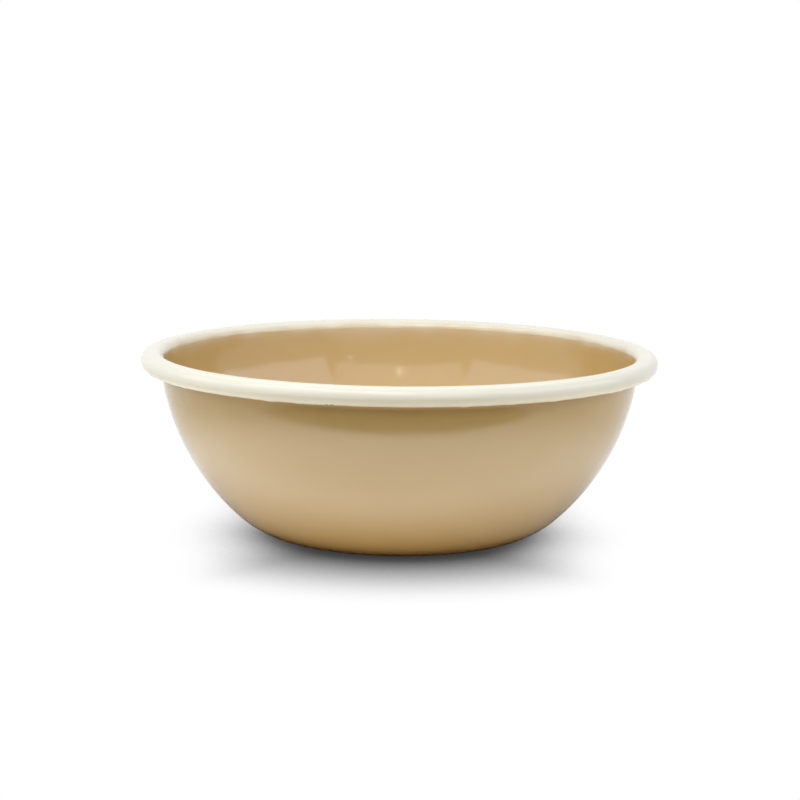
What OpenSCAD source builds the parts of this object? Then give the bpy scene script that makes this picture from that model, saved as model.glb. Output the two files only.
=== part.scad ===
// Enamel pet bowl: one pressed steel shell with a curled rim, a dark ground coat fired on
// both of its faces, tan cover coats inside and outside, and a cream band round the rim.
// The origin is at the centre of the base, on the surface the bowl stands on, with +Z up.
// Every layer is a band of one section, revolved round Z. A depth of 0 is the outer face of
// the fired enamel, and the deeper layers follow that face at a constant distance.

/* [Bowl] */
// Diameter over the rim
rim_d = 180; // [160:1:210]
// Height from the table to the top of the rim
bowl_h = 65; // [52:0.5:100]
// Diameter of the flat base, where the corner starts
foot_d = 72; // [48:1:92]
// Radius of the rounded corner between the base and the wall
corner_r = 31; // [14:0.5:42]
// Lean of the wall from upright where it meets the rim, in degrees
wall_lean = 4.5; // [2:0.5:10]

/* [Rim] */
// Height of the curled rim
curl_h = 6.4; // [5:0.1:7.6]
// Width of the curled rim
curl_w = 8; // [7:0.1:14]
// Gap left between the lip of the curl and the wall
curl_gap = 0.4; // [0.2:0.05:0.8]
// How far the cream band reaches below the crest on the inside of the rim
cream_drop = 2.2; // [0.6:0.1:2.6]

/* [Base] */
// Width of the flat ring that the bowl stands on
foot_w = 5; // [2:0.5:10]
// How far the middle of the base is raised above that ring
base_rise = 0.8; // [0.4:0.1:1.8]
// Radius of the two bends between the ring and the raised middle
step_r = 4; // [2.5:0.5:8]

/* [Layers] */
// Thickness of the pressed steel sheet
sheet_t = 0.7; // [0.4:0.05:1.2]
// Thickness of the dark ground coat
ground_t = 0.15; // [0.08:0.01:0.3]
// Thickness of the coloured cover coat
cover_t = 0.2; // [0.1:0.01:0.4]

/* [Hidden] */

// Largest distance between an arc of the section and the straight bands drawn for it
arc_sag = 0.02;
// Facets round the axis
$fn = 180;

// Depths of the layers below the outer face
steel_near = cover_t + ground_t;
steel_far = steel_near + sheet_t;
ground_far = steel_far + ground_t;
wall_t = ground_far + cover_t;

// Rim curl: a flat-topped oval with a round end towards the bowl and one away from it
curl_r = curl_h / 2;
curl_z = bowl_h - curl_r;
curl_in = [rim_d / 2 - curl_w + curl_r, curl_z];
curl_out = [rim_d / 2 - curl_r, curl_z];

// Corner arc, and the wall arc that is tangent to it and to the inner end of the curl
corner = [foot_d / 2, corner_r];
span = curl_r - wall_t;
dx = corner.x - curl_in.x;
dz = corner.y - curl_in.y;
reach = ((span + corner_r) ^ 2 - dx ^ 2 - dz ^ 2)
    / (2 * (dx * cos(wall_lean) - dz * sin(wall_lean) + span + corner_r));
wall_r = reach - span;
wall = curl_in + reach * [-cos(wall_lean), sin(wall_lean)];

// Step in the base, from the raised middle down to the standing ring
step_turn = acos(1 - base_rise / (2 * step_r));
step_foot = [foot_d / 2 - foot_w, step_r];
step_mid = step_foot + [-2 * step_r * sin(step_turn), base_rise - 2 * step_r];

// Angles, counted from +X towards +Z, so that 90 is straight up: the crest and the underside of
// the curl, the edge of the cream band on its inner end, and where the arcs run into each other
crest = 90;
underside = -90;
cream_turn = crest + acos(1 - cream_drop / curl_r);
corner_turn = atan2(corner.y - wall.y, corner.x - wall.x);
wall_top_turn = -wall_lean;
curl_start_turn = 180 - wall_lean;

// Points on an arc, with the first one left out where it would repeat the path's last point;
// the number of steps is even, so that the middle of the arc is a point too
function arc(centre, r, from, to, first = 0) =
    let (step = 2 * acos(1 - arc_sag / r))
    let (steps = 2 * ceil(abs(to - from) / step / 2))
    [for (i = [first:steps])
        let (a = from + (to - from) * i / steps)
        centre + r * [cos(a), sin(a)]];

function reverse(path) = [for (i = [len(path) - 1:-1:0]) path[i]];

// Point where the wall meets the underside of the curl, and its angle on the wall arc
function seam(depth) =
    let (z = curl_z - curl_r + depth)
    [wall.x + sqrt((wall_r - depth) ^ 2 - (wall.y - z) ^ 2), z];
function seam_turn(depth) =
    let (p = seam(depth))
    atan2(p.y - wall.y, p.x - wall.x);

// Path from the middle of the base to the inner edge of the standing ring
function base_path(depth) = concat(
    [[0, base_rise + depth]],
    arc(step_mid, step_r + depth, 90, 90 - step_turn),
    arc(step_foot, step_r - depth, -90 - step_turn, -90, 1));

// Path from the outer edge of the standing ring up to an angle on the wall arc
function wall_path(depth, top_turn) = concat(
    arc(corner, corner_r - depth, -90, corner_turn),
    arc(wall, wall_r - depth, corner_turn, top_turn, 1));

// Path from the middle of the base up the outside of the wall to the seam under the curl
function outside_path(depth) = concat(base_path(depth), wall_path(depth, seam_turn(depth)));

// Path from the middle of the base up the inside of the wall and onto the curl, up to the edge
// of the cream band; the curl's depth is counted from its own outer face
function inside_path(wall_depth, curl_depth) = concat(
    base_path(wall_depth),
    wall_path(wall_depth, wall_top_turn),
    arc(curl_in, curl_r - curl_depth, curl_start_turn, cream_turn, 1));

// Paths over the curl: from the edge of the cream band to the crest, and on to the underside,
// and the point where its inner end reaches the crest
function crest_path(depth, first = 0) = arc(curl_in, curl_r - depth, cream_turn, crest, first);
function over_path(depth) = arc(curl_out, curl_r - depth, crest, underside);
function crest_point(depth) = curl_in + (curl_r - depth) * [cos(crest), sin(crest)];

// Closed band between two paths that run the same way, revolved round Z
module band(near, far) {
    rotate_extrude()
        polygon(concat(near, reverse(far)));
}

// Pressed sheet: the wall's inner face turns over into the curl's outer face
module steel_shell() {
    lip = seam(steel_near) + [curl_gap, 0];
    color("dimgray")
        band(
            concat(
                outside_path(steel_near),
                arc(wall, wall_r - steel_near, seam_turn(steel_near), wall_top_turn, 1),
                arc(curl_in, curl_r - steel_far, curl_start_turn, crest, 1),
                over_path(steel_far),
                [lip + [0, sheet_t]]),
            concat(
                inside_path(steel_far, steel_near),
                crest_path(steel_near, 1),
                over_path(steel_near),
                [lip]));
}

// Ground coat on the inner face, up to the crest of the rim
module ground_coat_inside() {
    color("black")
        band(
            concat(inside_path(steel_far, steel_near), crest_path(steel_near, 1)),
            concat(inside_path(ground_far, cover_t), crest_path(cover_t, 1)));
}

// Ground coat on the outer face, across the gap under the curl and over it to the crest
module ground_coat_outside() {
    color("black")
        band(
            concat(outside_path(cover_t), reverse(over_path(cover_t)), [crest_point(cover_t)]),
            concat(outside_path(steel_near), reverse(over_path(steel_near)), [crest_point(steel_near)]));
}

// Tan cover coat on the inner face, up to the edge of the cream band
module cover_coat_inside() {
    color("tan")
        band(inside_path(ground_far, cover_t), inside_path(wall_t, 0));
}

// Tan cover coat on the outer face, from the standing ring up to the seam under the curl
module cover_coat_outside() {
    color("tan")
        band(
            wall_path(0, seam_turn(0)),
            wall_path(cover_t, seam_turn(cover_t)));
}

// Tan cover coat under the base, which the bowl stands on
module base_coat() {
    color("tan")
        band(
            concat(base_path(0), [[corner.x, 0]]),
            concat(base_path(cover_t), [[corner.x, cover_t]]));
}

// Cream cover coat round the rim, mitred against the tan coat in the seam
module rim_coat() {
    color("ivory")
        band(
            concat(crest_path(0), over_path(0), [seam(0)]),
            concat(crest_path(cover_t), over_path(cover_t), [seam(cover_t)]));
}

steel_shell();
ground_coat_inside();
ground_coat_outside();
cover_coat_inside();
cover_coat_outside();
base_coat();
rim_coat();
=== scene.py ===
# %% [markdown]
# # An enamel pet bowl
# A feeding bowl of this kind is pressed from one sheet of steel and then coated with glass: a dark
# ground coat that bonds to the metal, and over it a coloured cover coat, all fired in a kiln. What
# the eye sees is only the glass. So the imported model stays as the frame, with its steel and ground
# coats, and the four cover coats are made again here as fine surfaces that carry the swell of real
# glaze. This first cell loads the frame.

# %% Load the frame
import math

import bpy
import numpy as np
from mathutils import Matrix, Vector


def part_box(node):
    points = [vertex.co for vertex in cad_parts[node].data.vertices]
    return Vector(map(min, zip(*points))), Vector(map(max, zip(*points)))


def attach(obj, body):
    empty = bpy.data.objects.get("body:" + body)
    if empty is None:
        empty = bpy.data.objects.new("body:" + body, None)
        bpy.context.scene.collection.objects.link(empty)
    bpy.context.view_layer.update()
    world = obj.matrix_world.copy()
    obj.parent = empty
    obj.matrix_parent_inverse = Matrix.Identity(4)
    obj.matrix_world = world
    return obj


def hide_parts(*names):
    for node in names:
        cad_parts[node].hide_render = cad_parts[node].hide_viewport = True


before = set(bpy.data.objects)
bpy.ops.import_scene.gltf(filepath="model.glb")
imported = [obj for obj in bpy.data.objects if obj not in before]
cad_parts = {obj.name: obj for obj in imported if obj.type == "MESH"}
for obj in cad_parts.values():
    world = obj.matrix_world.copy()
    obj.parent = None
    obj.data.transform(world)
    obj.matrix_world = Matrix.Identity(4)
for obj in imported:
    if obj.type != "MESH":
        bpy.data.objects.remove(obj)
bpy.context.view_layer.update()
print("frame nodes:", sorted(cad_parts))

# %% [markdown]
# ## The bowl's section
# The bowl is a body of revolution, so one section says nearly everything: a raised base, a flat ring
# to stand on, a rounded corner, a wall on a large arc, and the rim, a sheet edge curled over into a
# flat-topped oval. A section could be a hand-drawn curve that a Screw modifier spins. Arcs with
# formulas are used instead, because every coat then follows the same arcs at its own depth. Sizes that
# the frame holds are read from it, and the rest are named here. A section point is (radius, height).

# %% Sizes of the section
MM = 0.001
rim_low, rim_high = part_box("rim_coat")
RIM_R = rim_high.x
BOWL_H = rim_high.z
CURL_R = (rim_high.z - rim_low.z) / 2
CURL_W = 8 * MM
FOOT_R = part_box("base_coat")[1].x
FOOT_W = 5 * MM
BASE_RISE = 0.8 * MM
STEP_R = 4 * MM
CORNER_R = 31 * MM
WALL_LEAN = math.radians(4.5)
CREAM_DROP = 2.2 * MM
COVER_T = 0.2 * MM
GROUND_T = 0.15 * MM
SHEET_T = 0.7 * MM
INNER_GROUND = COVER_T + GROUND_T + SHEET_T + GROUND_T
WALL_T = INNER_GROUND + COVER_T
print(f"rim {2 * RIM_R / MM:.1f} mm, height {BOWL_H / MM:.1f} mm, wall {WALL_T / MM:.2f} mm")

# %% Arcs of the section
DOWN, CREST = -math.pi / 2, math.pi / 2
curl_in = np.array([RIM_R - CURL_W + CURL_R, BOWL_H - CURL_R])
curl_out = np.array([RIM_R - CURL_R, BOWL_H - CURL_R])
corner = np.array([FOOT_R, CORNER_R])


def tangent_wall():
    """Centre and radius of the wall's arc. It touches the corner arc from inside and the inner end of
    the curl from outside, and leans by WALL_LEAN where it meets the curl. Those three conditions leave
    one unknown, the distance from the wall's centre to the curl's centre."""
    span = CURL_R - WALL_T
    dx, dz = corner - curl_in
    lean = dx * math.cos(WALL_LEAN) - dz * math.sin(WALL_LEAN)
    reach = ((span + CORNER_R) ** 2 - dx**2 - dz**2) / (2 * (lean + span + CORNER_R))
    centre = curl_in + reach * np.array([-math.cos(WALL_LEAN), math.sin(WALL_LEAN)])
    return centre, reach - span


wall, WALL_R = tangent_wall()
corner_turn = math.atan2(*(corner - wall)[::-1])
cream_turn = CREST + math.acos(1 - CREAM_DROP / CURL_R)
step_turn = math.acos(1 - BASE_RISE / (2 * STEP_R))
step_foot = np.array([FOOT_R - FOOT_W, STEP_R])
step_mid = step_foot + np.array([-2 * STEP_R * math.sin(step_turn), BASE_RISE - 2 * STEP_R])
print(f"wall radius {WALL_R / MM:.1f} mm, corner radius {CORNER_R / MM:.1f} mm")

# %% [markdown]
# ## Grids of the section
# A surface of revolution is a grid: rows run along the section, and columns run round the bowl. Making
# the rows as whole arrays lets an edge or a thickness differ from column to column, which a spun curve
# can't do. That is how the cream band gets its hand-sprayed edge further down.

# %% Rows along arcs and lines, columns round the bowl
AROUND = 480
azimuth = np.linspace(0, 2 * np.pi, AROUND, endpoint=False)


def arc_rows(centre, radius, start, stop, rows):
    """Rows of points on an arc: the centre plus the radius times (cosine, sine) of angles that run
    evenly from start to stop. Both may be one angle or one angle for each column."""
    share = np.linspace(0, 1, rows)[:, None]
    angle = start + (stop - start) * share + 0 * azimuth
    return np.stack([centre[0] + radius * np.cos(angle), centre[1] + radius * np.sin(angle)], axis=-1)


def line_rows(a, b, rows):
    """Rows of points on straight lines from a to b; either may be one point or one for each column."""
    share = np.linspace(0, 1, rows)[:, None, None]
    return a + (b - a) * share + np.zeros((1, AROUND, 1))


def joined(*pieces):
    """The pieces' rows one after another, without the first row of a piece that repeats the last."""
    return np.concatenate([pieces[0]] + [p[1:] for p in pieces[1:]])


print(f"{AROUND} columns, {2 * math.pi * RIM_R / AROUND / MM:.2f} mm apart at the rim")

# %% Rows of the base and the wall
STEP_ROWS, RING_ROWS = 9, 4
CORNER_ROWS, WALL_ROWS = 18, 36


def base_rows(depth):
    """The base at a depth below the outer face, from the axis to the outer edge of the standing ring."""
    middle = np.array([0, BASE_RISE + depth])
    bend = arc_rows(step_mid, STEP_R + depth, CREST, CREST - step_turn, STEP_ROWS)
    foot = arc_rows(step_foot, STEP_R - depth, DOWN - step_turn, DOWN, STEP_ROWS)
    ring = line_rows(foot[-1], np.array([FOOT_R, depth]), RING_ROWS)
    return joined(line_rows(middle, bend[0], STEP_ROWS), bend, foot, ring)


def wall_rows(depth, top_turn):
    """The corner and the wall at a depth, from the standing ring up to an angle on the wall's arc."""
    low = arc_rows(corner, CORNER_R - depth, DOWN, corner_turn, CORNER_ROWS)
    return joined(low, arc_rows(wall, WALL_R - depth, corner_turn, top_turn, WALL_ROWS))


def seam(depth):
    """The point where the wall meets the underside of the curl, at a depth below the outer face."""
    z = BOWL_H - 2 * CURL_R + depth
    return np.array([wall[0] + math.sqrt((WALL_R - depth) ** 2 - (wall[1] - z) ** 2), z])


def seam_turn(depth):
    """The angle of that point on the wall's arc."""
    return math.atan2(*(seam(depth) - wall)[::-1])


print(f"wall and curl meet at radius {seam(0)[0] / MM:.2f} mm, height {seam(0)[1] / MM:.2f} mm")

# %% [markdown]
# ## The swell of the glaze
# Enamel goes on as a wet slip and melts in the kiln, so its face is never a perfect lathe shape: it
# swells and sinks by a few hundredths of a millimetre over a few centimetres, and that is what bends
# the reflections. It could be left to a bump texture, but the swell shows at the outline of every
# highlight, so it belongs in the mesh. A few cosines with fixed phases give the same swell each run.

# %% Swell along the normals
SWELL = 0.028 * MM
SWELL_FADE = 1 / 12
swell_waves = ((3, 1.3, 0.4), (5, -2.1, 2.0), (8, 3.4, 4.1), (13, -5.2, 1.1), (21, 7.7, 5.3))


def normals(rows):
    """Unit normals of a section grid, to the right of the way its rows run: the row-to-row direction
    (dr, dz) turned a quarter, (dz, -dr), and divided by its length."""
    dr, dz = np.moveaxis(np.gradient(rows, axis=0), -1, 0)
    normal = np.stack([dz, -dr], axis=-1)
    return normal / np.linalg.norm(normal, axis=-1, keepdims=True)


def swollen(rows, outward):
    """The rows moved along their normals by a mean of cosines. Each wave has a whole number of
    periods round the bowl, a number along the section and a phase. The swell fades to nothing over the
    share SWELL_FADE at both ends, so that coats still meet edge to edge."""
    share = np.linspace(0, 1, len(rows))[:, None]
    along = 2 * np.pi * share
    waves = sum(np.cos(n * azimuth + m * along + p) for n, m, p in swell_waves) / len(swell_waves)
    fade = np.minimum(1, np.minimum(share, 1 - share) / SWELL_FADE)
    return rows + (outward * SWELL * waves * fade)[..., None] * normals(rows)


print(f"swell up to {SWELL / MM:.3f} mm in {len(swell_waves)} waves")

# %% [markdown]
# ## From grid to mesh
# A coat has thickness, so its section is a loop: out along the face, over the edge, and back along the
# face that lies on the ground coat. Solidify could thicken an open sheet, but then two coats would no
# longer meet in a clean mitre. A loop that touches the axis closes there with two poles. The faces are
# turned outward by the sign of the enclosed volume.

# %% Faces between rows and columns
def enclosed_volume(points, quads):
    """Signed volume inside quads: the sum of the tetrahedra that their two triangles make with the
    origin, which is positive when the faces point outward."""
    a, b, c, d = (points[quads[..., k].ravel()] for k in range(4))
    return (np.einsum("ij,ij", a, np.cross(b, c)) + np.einsum("ij,ij", a, np.cross(c, d))) / 6


def coat_faces(points, rows, poles):
    """Quads between neighbouring rows and columns, which both wrap round, and the points that they use.
    With poles, the first and last rows are single points on the axis, so the quads there are triangles
    with one corner less."""
    index = np.arange(rows * AROUND).reshape(rows, AROUND)
    if poles:
        index[0], index[-1] = index[0, 0], index[-1, 0]
    here, there = index, np.roll(index, -1, axis=0)
    quads = np.stack([here, np.roll(here, -1, 1), np.roll(there, -1, 1), there], axis=-1)
    pole_corners = [slice(1, 4), slice(0, 3)]
    if enclosed_volume(points, quads) < 0:
        quads = quads[..., ::-1]
        pole_corners.reverse()
    used, flat = np.unique(quads, return_inverse=True)
    quads = flat.reshape(quads.shape)
    if not poles:
        return used, quads.reshape(-1, 4).tolist()
    first, last = quads[0][:, pole_corners[0]], quads[-2][:, pole_corners[1]]
    return used, first.tolist() + quads[1:-2].reshape(-1, 4).tolist() + last.tolist()


print(f"{AROUND} faces to a row")

# %% Closed pieces
SHARP_EDGE = math.radians(50)


def coat(name, loop, poles):
    """A closed, smooth piece from a loop of section rows turned round the axis, and the loop's points
    that its mesh uses: (radius, height) becomes (radius times cosine, radius times sine, height)."""
    r, z = loop[..., 0], loop[..., 1]
    points = np.stack([r * np.cos(azimuth), r * np.sin(azimuth), z], axis=-1).reshape(-1, 3)
    used, faces = coat_faces(points, len(loop), poles)
    mesh = bpy.data.meshes.new(name)
    mesh.from_pydata(points[used].tolist(), [], faces)
    mesh.polygons.foreach_set("use_smooth", np.ones(len(faces), bool))
    mesh.set_sharp_from_angle(angle=SHARP_EDGE)
    piece = bpy.data.objects.new(name, mesh)
    bpy.context.scene.collection.objects.link(piece)
    print(f"{name}: {len(used)} points, {len(faces)} faces")
    return piece, used


print(f"edges over {math.degrees(SHARP_EDGE):.0f} degrees stay sharp")

# %% [markdown]
# ## The edge of the cream band
# The rim is dipped or sprayed cream after the tan coat, by hand, so inside the bowl its edge wanders
# by up to two thirds of a millimetre either way. The cream band and the tan coat both end on this one
# wavy line. A straight edge with a painted wave would be easier, but then a mesh would hold two colours.

# %% Wavy edge
EDGE_WANDER = 0.25 * MM
edge_waves = ((2, 0.9), (5, 3.6), (11, 1.7), (17, 5.0), (29, 2.6), (43, 0.2))


def wander(waves):
    """A sum of cosines round the bowl, each with a number of periods and a phase, divided so that its
    root mean square is 1."""
    return sum(np.cos(n * azimuth + p) for n, p in waves) / math.sqrt(len(waves) / 2)


cream_edge = cream_turn + EDGE_WANDER / CURL_R * wander(edge_waves)
print(f"cream edge wanders by {np.ptp(cream_edge) * CURL_R / MM:.2f} mm")

# %% [markdown]
# ## The drift of the spray
# The spray drifts past the edge, so the colour fades over one to three millimetres, further at some
# places than at others. A texture could fade it, but it would have to find the wavy edge again. The share
# of cream is worked out along the rows instead and kept on the points, as an attribute for the materials.

# %% Drifting spray
DRIFT_TAN, DRIFT_CREAM, DRIFT_CHANGE = 1.7 * MM, 0.9 * MM, 0.2
EDGE_SHARE = 0.5
drift_waves = ((3, 2.2), (7, 0.3), (12, 4.4), (17, 1.2))
drift = np.exp(DRIFT_CHANGE * wander(drift_waves))


def walked(rows):
    """Way along the section from the first row to each row, as a running sum of the steps."""
    step = np.linalg.norm(np.diff(rows, axis=0), axis=-1)
    return np.concatenate([np.zeros((1, AROUND)), np.cumsum(step, axis=0)])


def spray_over_tan(rows):
    """Share of cream on rows that end at the cream edge: half there, and an exponential fall to none."""
    way = walked(rows)
    return EDGE_SHARE * np.exp((way - way[-1]) / (DRIFT_TAN * drift))


def spray_over_cream(rows):
    """Share of cream on rows that start at the cream edge: half there, and an exponential rise to all."""
    return 1 - EDGE_SHARE * np.exp(-walked(rows) / (DRIFT_CREAM * drift))


def keep_share(piece, used, name, share):
    """Writes a share onto a coat's points as an attribute, the same on its face and on its back."""
    layer = piece.data.attributes.new(name, "FLOAT", "POINT")
    both_faces = np.concatenate([share, share[::-1]])
    layer.data.foreach_set("value", both_faces.reshape(-1)[used].astype(np.float32))


print(f"spray fades over {DRIFT_TAN * drift.min() / MM:.1f} to {DRIFT_TAN * drift.max() / MM:.1f} mm of tan")

# %% [markdown]
# ## Tan coat inside
# The tan glass inside runs from the middle of the base up the wall and on round the curl, as far as the
# cream. It could be a bowl with a Solidify modifier. As a loop it ends exactly on the wavy edge and lies
# on the ground coat without a gap.

# %% Tan coat inside
CURL_ROWS = 14


def inside_rows(wall_depth, curl_depth):
    """The inner face at a depth in the wall, which goes on round the curl at a depth in the curl."""
    up = joined(base_rows(wall_depth), wall_rows(wall_depth, -WALL_LEAN))
    over = arc_rows(curl_in, CURL_R - curl_depth, math.pi - WALL_LEAN, cream_edge, CURL_ROWS)
    return joined(up, over)


inside_back = inside_rows(INNER_GROUND, COVER_T)
inside_face = swollen(inside_rows(WALL_T, 0), -1)
inside_loop = np.concatenate([inside_back, inside_face[::-1]])
inside_tan, inside_used = coat("inside_tan_glaze", inside_loop, poles=True)
keep_share(inside_tan, inside_used, "cream_share", spray_over_tan(inside_face))

# %% [markdown]
# ## Tan coats outside and under the base
# The tan glass outside runs from the standing ring to the seam under the curl, and one more coat closes
# the bowl below, under the raised middle. One loop could make both, but the frame has them as two nodes,
# so they stay two pieces. The base gets no swell: the bowl has to stand flat.

# %% Tan coat outside
outside_face = swollen(wall_rows(0, seam_turn(0)), 1)
outside_back = wall_rows(COVER_T, seam_turn(COVER_T))
outside_loop = np.concatenate([outside_face, outside_back[::-1]])
outside_tan, _ = coat("outside_tan_glaze", outside_loop, poles=False)

# %% Tan coat under the base
base_loop = np.concatenate([base_rows(0), base_rows(COVER_T)[::-1]])
base_tan, _ = coat("base_tan_glaze", base_loop, poles=True)

# %% [markdown]
# ## Cream band over the rim
# Cream covers the curl from the wavy edge to the seam. While it is wet it runs down the rounded edge,
# so it pools under the curl and hangs there in small sags, a tenth of a millimetre or two deep. Sags
# could be sculpted one by one. Drawn places and bell curves are quicker, and a fixed seed repeats them.

# %% Pool and sags of the cream
POOL_RISE = 0.6 * MM
SAGS, SAG_DEPTH, SAG_WIDTH = 60, (0.04 * MM, 0.22 * MM), 1.6 * MM
SEED = 11
draw = np.random.default_rng(SEED)
sag_places = draw.uniform(0, 2 * np.pi, SAGS)
sag_depths = draw.uniform(*SAG_DEPTH, SAGS)


def bells(places, width):
    """Bell curves exp(-(distance / width)^2) of the distance round the rim, one row for each place."""
    apart = np.angle(np.exp(1j * (azimuth - places[:, None]))) * RIM_R
    return np.exp(-((apart / width) ** 2))


def pooled(rows):
    """Share of pooled cream on the curl. With s the share of the way down, from POOL_RISE above the
    curl's middle to its underside, it is s times (2 - s)."""
    sunk = np.clip((curl_out[1] + POOL_RISE - rows[..., 1]) / (CURL_R + POOL_RISE), 0, 1)
    return sunk * (2 - sunk)


def sagged(rows):
    """The rows lowered by sags: the sum of the drawn bells, each times its depth, times the square of
    the pooled share, and times a share that falls to nothing towards the seam."""
    depth = (sag_depths[:, None] * bells(sag_places, SAG_WIDTH)).sum(axis=0)
    clear = np.clip((rows[..., 0] - seam(0)[0]) / (curl_out[0] - seam(0)[0]), 0, 1)
    return rows - np.stack([0 * clear, depth * clear * pooled(rows) ** 2], axis=-1)


print(f"{SAGS} sags, up to {sag_depths.max() / MM:.2f} mm deep")

# %% Cream band over the rim
INNER_ROWS, CREST_ROWS, OUTER_ROWS, UNDER_ROWS = 24, 5, 40, 10


def rim_rows(depth):
    """The curl at a depth: its inner end from the cream edge to the crest, the flat crest, its outer
    end round to the underside, and the underside to the seam."""
    inner = arc_rows(curl_in, CURL_R - depth, cream_edge, CREST, INNER_ROWS)
    outer = arc_rows(curl_out, CURL_R - depth, CREST, DOWN, OUTER_ROWS)
    flat = line_rows(inner[-1], outer[0], CREST_ROWS)
    return joined(inner, flat, outer, line_rows(outer[-1], seam(depth), UNDER_ROWS))


rim_face = sagged(swollen(rim_rows(0), -1))
rim_loop = np.concatenate([rim_face, rim_rows(COVER_T)[::-1]])
cream_band, rim_used = coat("cream_rim_glaze", rim_loop, poles=False)
keep_share(cream_band, rim_used, "cream_share", spray_over_cream(rim_face))
# The pooled share also carries painted warm bounce light onto the curl's underside.
keep_share(cream_band, rim_used, "cream_pool_and_bounce", pooled(rim_face))

# %% [markdown]
# ## Nicks
# At one place on the lower edge of the cream a few dark nicks show the ground coat. Holes in the mesh
# would have to be far finer than its grid, so only a weight is kept on the points, and the material sets
# dark specks where it is high.

# %% Weight of the nicks
NICK_PLACE, NICK_SPREAD = math.radians(-104), 5 * MM
NICK_FROM, NICK_FULL = 0.97, 0.99


def nicked(rows):
    """Weight of nicks: a bell round the rim at one place, times a rise from none to all while the pooled
    share goes from NICK_FROM to NICK_FULL, on the outer side of the curl's lowest point."""
    bell = bells(np.array([NICK_PLACE]), NICK_SPREAD)[0]
    low = np.clip((pooled(rows) - NICK_FROM) / (NICK_FULL - NICK_FROM), 0, 1)
    return bell * low * (rows[..., 0] > curl_out[0])


keep_share(cream_band, rim_used, "cream_nicks", nicked(rim_face))
print(f"nicks on {np.count_nonzero(nicked(rim_face) > 0.5)} points of the rim")

# %% [markdown]
# ## Wires between nodes
# A material is a tree of nodes. It could be clicked together in the shader editor, but a script can be
# read and repeated. These helpers each add a node or two, wire them up and hand back the output, so that
# a formula reads from the inside out. Noise reads Object coordinates, which stay with the piece.

# %% Helpers that add a node
def put(tree, value, socket):
    """Links a socket to another socket, or sets it to a number or a colour."""
    if isinstance(value, bpy.types.NodeSocket):
        tree.links.new(value, socket)
    else:
        socket.default_value = (*value, 1) if isinstance(value, tuple) else value


def noise(tree, scale, detail):
    """Noise between 0 and 1, with a scale in waves per metre and a number of finer layers."""
    place = tree.nodes.new("ShaderNodeTexCoord")
    texture = tree.nodes.new("ShaderNodeTexNoise")
    for name, value in (("Vector", place.outputs["Object"]), ("Scale", scale), ("Detail", detail)):
        put(tree, value, texture.inputs[name])
    return texture.outputs["Fac"]


def ramp(tree, value, start, stop, first=0, last=1, shape="SMOOTHSTEP"):
    """Goes from first to last while the value goes from start to stop."""
    node = tree.nodes.new("ShaderNodeMapRange")
    node.interpolation_type = shape
    sockets = ("Value", "From Min", "From Max", "To Min", "To Max")
    for number, name in zip((value, start, stop, first, last), sockets):
        put(tree, number, node.inputs[name])
    return node.outputs["Result"]


def blended(tree, factor, first, second):
    """The colour that goes from the first to the second by a factor. Colours are tuples or sockets."""
    mix = tree.nodes.new("ShaderNodeMix")
    mix.data_type = "RGBA"
    for name, value in (("Factor", factor), ("A", first), ("B", second)):
        put(tree, value, mix.inputs[name])
    return mix.outputs["Result"]


def share_of(tree, name):
    """The value of one of the shares that were kept on the mesh."""
    share = tree.nodes.new("ShaderNodeAttribute")
    share.attribute_name = name
    return share.outputs["Fac"]


print("shares kept on the rim:", [a.name for a in cream_band.data.attributes if a.name.startswith("cream")])

# %% [markdown]
# ## Fired enamel
# Fired enamel is opaque coloured glass: a matt colour under a sharp, clear reflection. One Principled
# shader gives both. A single flat colour would look like plastic, so a broad noise makes the slight
# clouds of uneven slip, and a fine one makes the orange peel that softens reflections. The shares kept
# on the meshes blend the two colours at the edge. Under the curl they deepen and warm the cream, partly
# where it pools and partly as painted warm bounce light from the table.

# %% Fired enamel
CLOUD_SCALE, CLOUD_DETAIL = 38, 3
PEEL_SCALE, PEEL_DETAIL = 420, 2
PEEL_STRENGTH, PEEL_HEIGHT = 0.1, 0.02 * MM
SPECK_SCALE, SPECK_PEAK = 1700, (0.56, 0.64)
NICK = (0.06, 0.05, 0.04)


def specks(tree, name):
    """Small specks: the peaks of a fine noise, as strong as a weight that was kept on the mesh."""
    return ramp(tree, noise(tree, SPECK_SCALE, 0), *SPECK_PEAK, 0, share_of(tree, name), "LINEAR")


def orange_peel(tree):
    """A normal that is tilted a little by a fine noise."""
    bump = tree.nodes.new("ShaderNodeBump")
    bump.inputs["Strength"].default_value = PEEL_STRENGTH
    bump.inputs["Distance"].default_value = PEEL_HEIGHT
    put(tree, noise(tree, PEEL_SCALE, PEEL_DETAIL), bump.inputs["Height"])
    return bump.outputs["Normal"]


def fired_enamel(name, tones, gloss, ior, tan=None, cream=None, pool=None):
    """A glossy glass coat whose colour drifts between two tones, and its roughness between two values.
    The share of cream blends in a tan below it or a cream above it. A pool colour takes the pooled
    share under the curl: deeper cream where it pools, and painted warm bounce light there too. With it
    come the nicks that show the ground coat."""
    material = bpy.data.materials.new(name)
    material.use_nodes = True
    tree = material.node_tree
    shader = tree.nodes["Principled BSDF"]
    clouds = noise(tree, CLOUD_SCALE, CLOUD_DETAIL)
    colour = blended(tree, clouds, *tones)
    if pool:
        colour = blended(tree, share_of(tree, "cream_pool_and_bounce"), colour, pool)
        colour = blended(tree, specks(tree, "cream_nicks"), colour, NICK)
    if tan:
        colour = blended(tree, share_of(tree, "cream_share"), tan, colour)
    if cream:
        colour = blended(tree, share_of(tree, "cream_share"), colour, cream)
    put(tree, colour, shader.inputs["Base Color"])
    put(tree, orange_peel(tree), shader.inputs["Normal"])
    put(tree, ramp(tree, clouds, 0, 1, *gloss, "LINEAR"), shader.inputs["Roughness"])
    shader.inputs["IOR"].default_value = ior
    print(f"{name}: {len(tree.nodes)} nodes")
    return material


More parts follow.
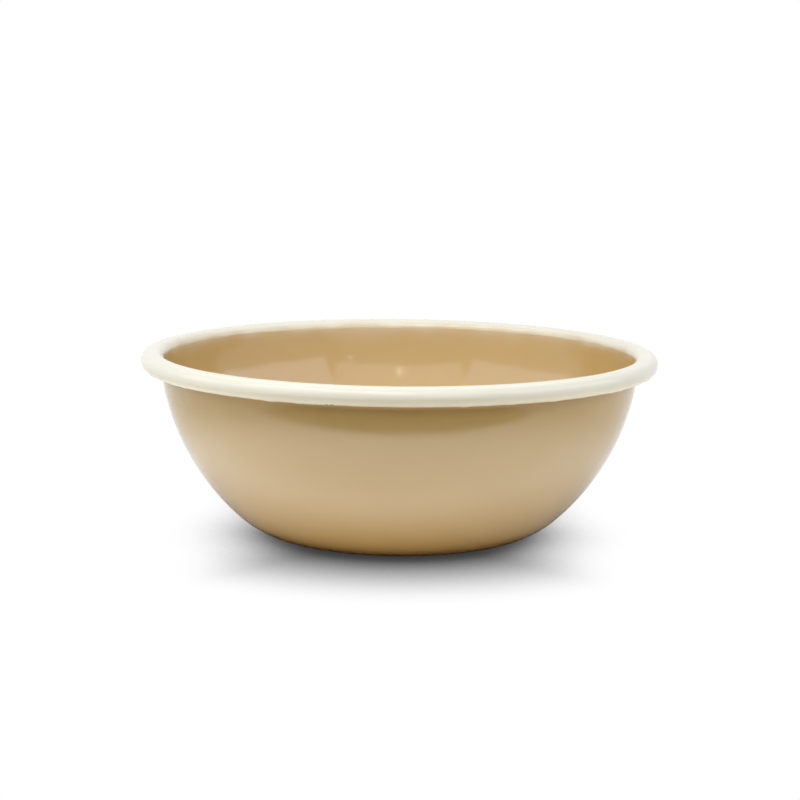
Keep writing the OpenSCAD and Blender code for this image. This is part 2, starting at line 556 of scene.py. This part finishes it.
# %% Colours of the enamel
TAN_TONES = (0.55, 0.365, 0.138), (0.58, 0.393, 0.156)
CREAM_TONES = (0.835, 0.80, 0.675), (0.865, 0.83, 0.705)
GROUND_TONES = (0.010, 0.011, 0.016), (0.018, 0.019, 0.026)
# Pool colour: deeper cream where the glaze pools, and painted warm bounce light under the curl.
CREAM_POOL_AND_BOUNCE = (0.97, 0.87, 0.62)
BRIGHT_GLASS = {"gloss": (0.085, 0.135), "ior": 1.55}
SOFT_GLASS = {"gloss": (0.14, 0.22), "ior": 1.42}


def halfway(tones):
    """The colour in the middle between two tones."""
    return tuple(np.mean(tones, axis=0).tolist())


TAN, CREAM = halfway(TAN_TONES), halfway(CREAM_TONES)
tan_enamel = fired_enamel("tan_enamel", TAN_TONES, **BRIGHT_GLASS, cream=CREAM)
cream_enamel = fired_enamel("cream_enamel", CREAM_TONES, **SOFT_GLASS, tan=TAN, pool=CREAM_POOL_AND_BOUNCE)
ground_enamel = fired_enamel("ground_enamel", GROUND_TONES, **BRIGHT_GLASS)

# %% [markdown]
# ## Pressed steel
# The sheet is inside the glass and shows only where a bowl is chipped. It is bare steel, dulled in
# patches by the press and the pickling bath. A plain grey metal would do, but a noise in its roughness
# costs only three nodes more and keeps it from looking like chrome.

# %% Pressed steel
STEEL_GREY, STEEL_GLOSS = (0.42, 0.42, 0.43), (0.28, 0.45)
MARK_SCALE, MARK_DETAIL = 260, 4


def pressed_steel():
    """Bare metal of one grey, with a roughness that a fine noise moves between two values."""
    material = bpy.data.materials.new("pressed_steel")
    material.use_nodes = True
    tree = material.node_tree
    shader = tree.nodes["Principled BSDF"]
    marks = noise(tree, MARK_SCALE, MARK_DETAIL)
    shader.inputs["Metallic"].default_value = 1
    put(tree, STEEL_GREY, shader.inputs["Base Color"])
    put(tree, ramp(tree, marks, 0, 1, *STEEL_GLOSS, "LINEAR"), shader.inputs["Roughness"])
    print(f"{material.name}: {len(tree.nodes)} nodes")
    return material


steel = pressed_steel()

# %% [markdown]
# ## Dressing the frame
# Each new coat stands for the CAD node of the same layer, rides on the bowl's only body, and takes the
# record's finish. The steel and the two ground coats keep their CAD meshes and only get materials.

# %% Replace and dress the nodes
dressed = (
    (inside_tan, "cover_coat_inside", "tan_enamel", tan_enamel),
    (outside_tan, "cover_coat_outside", "tan_enamel", tan_enamel),
    (base_tan, "base_coat", "tan_enamel", tan_enamel),
    (cream_band, "rim_coat", "cream_enamel", cream_enamel),
)
for piece, node, slot, material in dressed:
    piece.data.materials.append(material)
    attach(piece, "root")
    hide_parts(node)
hidden = (
    ("steel_shell", steel),
    ("ground_coat_inside", ground_enamel),
    ("ground_coat_outside", ground_enamel),
)
for node, material in hidden:
    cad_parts[node].data.materials.clear()
    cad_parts[node].data.materials.append(material)
print("dressed:", [piece.name for piece, *_ in dressed])

# %% [markdown]
# ## Camera
# The photograph is taken from a little above the rim with a long lens. The eye's distance, its height
# angle and the picture's focal length were fitted to the rim's and the wall's outline. The picture
# leans by about half a degree, so the camera rolls by as much.

# %% Camera
EYE_DISTANCE = 0.85
EYE_RISE = math.radians(9.81)
EYE_PIVOT = Vector((0, 0, 0.035))
AIM = Vector((0.0003, 0, 0.0472))
ROLL = math.radians(0.58)
FOCAL_PIXELS, PICTURE_PIXELS = 2416.0, 800
SENSOR_MM = 36

camera_data = bpy.data.cameras.new("camera")
camera_data.sensor_width = SENSOR_MM
camera_data.lens = FOCAL_PIXELS / PICTURE_PIXELS * SENSOR_MM
camera = bpy.data.objects.new("camera", camera_data)
bpy.context.scene.collection.objects.link(camera)
eye = EYE_PIVOT + EYE_DISTANCE * Vector((0, -math.cos(EYE_RISE), math.sin(EYE_RISE)))
turn = (AIM - eye).to_track_quat("-Z", "Y").to_matrix().to_4x4()
camera.matrix_world = Matrix.Translation(eye) @ turn @ Matrix.Rotation(ROLL, 4, "Z")
bpy.context.scene.camera = camera
print(f"lens {camera_data.lens:.1f} mm at {EYE_DISTANCE} m")

# %% [markdown]
# ## A floor that is a formula
# The bowl stands on a white table. Glossy glass mirrors that table more than anything else, so the
# floor makes half of the bowl's look: a white sheet alone gives a flat wall. A larger set with real
# walls and paper could be built, but a formula is shorter and easier to fit. Light Path tells rays
# apart, so the floor is one thing to the camera, another to mirrors and a third to matt light. First
# come the helpers for sums, and the place of a floor point in the bowl's own frame.

# %% Helpers for sums and shaders
def calc(tree, operation, *values):
    """The result of one Math node."""
    node = tree.nodes.new("ShaderNodeMath")
    node.operation = operation
    for value, socket in zip(values, node.inputs):
        put(tree, value, socket)
    return node.outputs[0]


def glow(tree, strength, colour=(1, 1, 1)):
    """A shader that shines with a strength and a colour, whatever light falls on it."""
    node = tree.nodes.new("ShaderNodeEmission")
    put(tree, colour, node.inputs["Color"])
    put(tree, strength, node.inputs["Strength"])
    return node.outputs["Emission"]


def chosen(tree, factor, first, second):
    """The first shader where the factor is 0 and the second where it is 1."""
    node = tree.nodes.new("ShaderNodeMixShader")
    for value, socket in zip((factor, first, second), node.inputs):
        put(tree, value, socket)
    return node.outputs["Shader"]


def floor_place(tree):
    """A floor point's x and y, its distance to either side of the bowl, |x|, and from the axis, r."""
    place = tree.nodes.new("ShaderNodeTexCoord")
    split = tree.nodes.new("ShaderNodeSeparateXYZ")
    put(tree, place.outputs["Object"], split.inputs["Vector"])
    x, y = split.outputs["X"], split.outputs["Y"]
    r = calc(tree, "SQRT", calc(tree, "MULTIPLY_ADD", x, x, calc(tree, "MULTIPLY", y, y)))
    return x, y, calc(tree, "ABSOLUTE", x), r


print("the floor's distances are in metres from the bowl's axis")

# %% [markdown]
# ## The floor that the camera sees
# In the photograph the table is pure white, with a soft grey shadow close under the bowl. Lamps strong
# enough to make paper white would burn out the cream rim, so the sheet glows with white and is darkened
# where the bowl covers the sky, which an Ambient Occlusion node measures.

# %% Floor as the camera sees it
SHADOW_REACH, SHADOW_DEEPEST, SHADOW_SAMPLES = 0.045, 0.04, 12
SIDE_LIFT, SIDE_TURN = 1.75, (0.6, 1)


def shown_floor(tree):
    """White times the open share of the sky within SHADOW_REACH, in a soft step. The share is lifted by
    up to SIDE_LIFT beside the bowl, where |x| / r nears 1, because the soft boxes reach in there."""
    _, _, span, r = floor_place(tree)
    sky = tree.nodes.new("ShaderNodeAmbientOcclusion")
    sky.samples = SHADOW_SAMPLES
    sky.inputs["Distance"].default_value = SHADOW_REACH
    lift = ramp(tree, calc(tree, "DIVIDE", span, r), *SIDE_TURN, 1, SIDE_LIFT)
    return ramp(tree, calc(tree, "MULTIPLY", sky.outputs["AO"], lift), 0, 1, SHADOW_DEEPEST, 1)


print(f"shadow reaches {SHADOW_REACH / MM:.0f} mm")

# %% [markdown]
# ## The floor that the glass mirrors
# To mirrors the floor glows with painted light: a painted pool of light in front, a painted shadow
# close to the foot, and painted dark past the table's front edge for the unlit room, which the wall
# mirrors as the brown band under the rim. Each of them is a smooth step of a distance, and the steps
# are multiplied.

# %% Floor as a mirror sees it
# Painted light that glossy rays see on the floor: a pool of light, a shadow at the foot, and dark past the
# front edge.
CONTACT_FRONT, CLEAR_FRONT = 0.053, 0.080
CONTACT_SIDE, CLEAR_SIDE = 0.040, 0.120
POOL_GAIN, POOL_TILT = 1.65, 0.1
POOL_TURN, POOL_FADE = (-0.72, 1.03), (0.115, 0.195)
DARK_EDGE, DARK_END, DARK_SIDE = (0.138, 0.153), (0.24, 0.30), (0.13, 0.18)
DARK_BEND = 0.58
MIRROR_TINT = (0.99, 1.0, 1.02)


def open_floor(tree, ahead, r):
    """Painted shadow for mirrors: 0 close to the bowl's foot and 1 in the open. The rise takes a longer
    way beside the bowl than in front, and both of its ends go from their side to their front value by
    the share that faces ahead."""
    facing = calc(tree, "MAXIMUM", ahead, 0)
    starts = calc(tree, "MULTIPLY_ADD", facing, CONTACT_FRONT - CONTACT_SIDE, CONTACT_SIDE)
    stops = calc(tree, "MULTIPLY_ADD", facing, CLEAR_FRONT - CLEAR_SIDE, CLEAR_SIDE)
    return ramp(tree, r, starts, stops)


def lit_table(tree, x, y, span):
    """Painted dark for the unlit room past the table: 1 on the table and 0 past its front edge, which
    bends back to the sides by x squared over DARK_BEND. The dark fades again over DARK_END to the front
    and over DARK_SIDE to either side."""
    front = calc(tree, "SUBTRACT", calc(tree, "DIVIDE", calc(tree, "MULTIPLY", x, x), DARK_BEND), y)
    dark = calc(tree, "MULTIPLY", ramp(tree, front, *DARK_EDGE), ramp(tree, front, *DARK_END, 1, 0))
    return calc(tree, "MULTIPLY_ADD", dark, ramp(tree, span, *DARK_SIDE, -1, 0), 1)


def mirrored_floor(tree):
    """Glow strength of the floor for mirrors: white times 1 plus POOL_GAIN times a painted pool of light,
    times the painted shadow of the open floor, times the painted dark of the lit table. The pool is
    strongest ahead, a little to the left, and fades with the distance r."""
    x, y, span, r = floor_place(tree)
    tilted = calc(tree, "SUBTRACT", calc(tree, "MULTIPLY", x, -POOL_TILT), y)
    ahead = calc(tree, "DIVIDE", tilted, r)
    pool = calc(tree, "MULTIPLY", ramp(tree, ahead, *POOL_TURN), ramp(tree, r, *POOL_FADE, 1, 0))
    white = calc(tree, "MULTIPLY_ADD", pool, POOL_GAIN, 1)
    clear = calc(tree, "MULTIPLY", white, open_floor(tree, ahead, r))
    return calc(tree, "MULTIPLY", clear, lit_table(tree, x, y, span))


print(f"mirrored pool of {1 + POOL_GAIN:.2f}, dark from {DARK_EDGE[0] / MM:.0f} mm in front")

# %% [markdown]
# ## The floor that gives matt light
# Light that falls on the table lights the bowl from below. Plain white paint does that. It is painted
# nearly black past the table's front edge, as painted shade for the unlit room. At the foot it is
# darkened and tinted as a painted contact shadow with warm bounce light: there the light has already
# bounced off the tan wall, and what is left of it is red rather than blue.

# %% Floor as matt light sees it
# Painted shade for matt light: dark past the table's front edge, and a warm painted contact shadow at the
# foot.
FLOOR_WHITE, DARK_MATT = 0.95, 0.1
MATT_EDGE = (0.134, 0.150)
FOOT_SHADE, FOOT_SHADE_TINT = (0.038, 0.074), (0.36, 0.14, 0.0)


def matt_floor(tree):
    """Diffuse paint: a step from white to painted dark at the front edge, times a step for each of red,
    green and blue from a painted contact shadow, tinted warm by bounce light, at the foot to 1 further
    out."""
    _, y, _, r = floor_place(tree)
    front = calc(tree, "MULTIPLY", y, -1)
    white = ramp(tree, front, *MATT_EDGE, FLOOR_WHITE, DARK_MATT)
    tint = tree.nodes.new("ShaderNodeCombineColor")
    for channel, shade in zip(tint.inputs, FOOT_SHADE_TINT):
        put(tree, calc(tree, "MULTIPLY", white, ramp(tree, r, *FOOT_SHADE, shade, 1)), channel)
    paint = tree.nodes.new("ShaderNodeBsdfDiffuse")
    put(tree, tint.outputs["Color"], paint.inputs["Color"])
    return paint.outputs["BSDF"]


print(f"matt floor of {FLOOR_WHITE}, tinted within {FOOT_SHADE[1] / MM:.0f} mm of the axis")

# %% [markdown]
# ## The floor's sheet
# One round face is enough, a fifth of a millimetre below the bowl so that the two never flicker. It
# could be a huge plane, but past its edge the white room looks the same.

# %% White floor
FLOOR_R, FLOOR_DROP = 0.75, 0.2 * MM


def white_floor():
    """The material: the shown floor to the camera and through clear glass, the mirrored floor to glossy
    rays, and the matt floor to all others."""
    material = bpy.data.materials.new("white_floor")
    material.use_nodes = True
    tree = material.node_tree
    tree.nodes.clear()
    ray = tree.nodes.new("ShaderNodeLightPath").outputs
    mirrored = glow(tree, mirrored_floor(tree), MIRROR_TINT)
    lighting = chosen(tree, ray["Is Glossy Ray"], matt_floor(tree), mirrored)
    direct = calc(tree, "MAXIMUM", ray["Is Camera Ray"], ray["Is Transmission Ray"])
    out = tree.nodes.new("ShaderNodeOutputMaterial")
    put(tree, chosen(tree, direct, lighting, glow(tree, shown_floor(tree))), out.inputs["Surface"])
    return material


floor_mesh = bpy.data.meshes.new("white_floor")
floor_edge = FLOOR_R * np.stack([np.cos(azimuth), np.sin(azimuth), 0 * azimuth], axis=-1)
floor_mesh.from_pydata((floor_edge - [0, 0, FLOOR_DROP]).tolist(), [], [list(range(AROUND))])
floor_mesh.materials.append(white_floor())
floor_sheet = bpy.data.objects.new("white_floor", floor_mesh)
bpy.context.scene.collection.objects.link(floor_sheet)
print(f"floor of {len(floor_mesh.materials[0].node_tree.nodes)} nodes, {FLOOR_R} m in radius")

# %% [markdown]
# ## Room light
# A studio's white walls fill the shadows. The world gives that as one even light, low enough for the
# lamps to shape the bowl. To the camera, to mirrors and through clear glass it is plain white.

# %% Room light
ROOM_LIGHT = 0.225


def white_room():
    """A world that lights evenly at ROOM_LIGHT and is plain white where a ray sees it directly."""
    world = bpy.data.worlds.new("white_room")
    world.use_nodes = True
    tree = world.node_tree
    ray = tree.nodes.new("ShaderNodeLightPath").outputs
    direct = calc(tree, "MAXIMUM", ray["Is Camera Ray"], ray["Is Transmission Ray"])
    seen = calc(tree, "MAXIMUM", direct, ray["Is Glossy Ray"])
    background = tree.nodes["Background"].inputs
    put(tree, (1, 1, 1), background["Color"])
    put(tree, ramp(tree, seen, 0, 1, ROOM_LIGHT, 1), background["Strength"])
    return world


bpy.context.scene.world = white_room()
print(f"room light {ROOM_LIGHT}, white where it is seen")

# %% [markdown]
# ## Soft boxes
# The patches that the inner wall mirrors show how the bowl was lit: a broad box high on the left, one
# high in front, a low one at each side with slightly cool light, one over the camera, and two small
# lamps. A weak box behind keeps the back from going dark. Area lamps are such boxes. A picture of a
# studio could light the bowl too, but each box here can be moved by itself.

# %% A soft box
LAMP_DISTANCE = 1.1


def soft_box(name, bearing, rise, size, radiance, roll=0, colour=(1, 1, 1), distance=LAMP_DISTANCE):
    """A rectangular lamp that faces the bowl. In degrees, bearing is counted from the camera's side
    towards +X, rise from the floor, and roll about the line to the bowl. Its power is the radiance times
    pi times its area, and the colour tints it."""
    width, height = size
    lamp = bpy.data.lights.new(name, "AREA")
    lamp.shape = "RECTANGLE"
    lamp.size, lamp.size_y = width, height
    lamp.energy = radiance * math.pi * width * height
    lamp.color = colour
    box = bpy.data.objects.new(name, lamp)
    bpy.context.scene.collection.objects.link(box)
    a, e = math.radians(bearing), math.radians(rise)
    away = Vector((math.sin(a) * math.cos(e), -math.cos(a) * math.cos(e), math.sin(e)))
    facing = away.to_track_quat("Z", "Y").to_matrix().to_4x4()
    rolled = facing @ Matrix.Rotation(math.radians(roll), 4, "Z")
    box.matrix_world = Matrix.Translation(EYE_PIVOT + distance * away) @ rolled
    print(f"{name}: {width} by {height} m, {lamp.energy:.2f} W")


# %% Lamps of the studio
COOL_LEFT, COOL_RIGHT = (0.85, 1.0, 1.16), (0.9, 1.0, 1.14)
WARM = (1.04, 1.0, 0.94)
soft_box("soft_box_left", -45, 58, (1.2, 0.36), radiance=3.45, colour=WARM)
soft_box("soft_box_upper", 0, 58, (1.0, 0.36), radiance=2.0, colour=WARM)
soft_box("soft_box_low_left", -75, 29, (1.4, 0.5), radiance=1.5, roll=6, colour=COOL_LEFT)
soft_box("soft_box_low_right", 76, 28, (1.4, 0.5), radiance=1.7, roll=-6, colour=COOL_RIGHT)
soft_box("soft_box_front", 0, 34, (1.42, 0.42), radiance=1.4)
soft_box("soft_box_back", 180, 55, (1.4, 0.4), radiance=0.5)
soft_box("small_lamp_centre", 0, 27, (0.03, 0.06), radiance=7, distance=1.0)
soft_box("small_lamp_right", 27.5, 18.8, (0.03, 0.02), radiance=9, distance=1.0)

# %% [markdown]
# ## Finish
# The picture is shown as it is, without a film curve. The swell may make the bowl larger than the
# frame by a few hundredths of a millimetre only.

# %% Film curve
bpy.context.scene.view_settings.view_transform = "Standard"
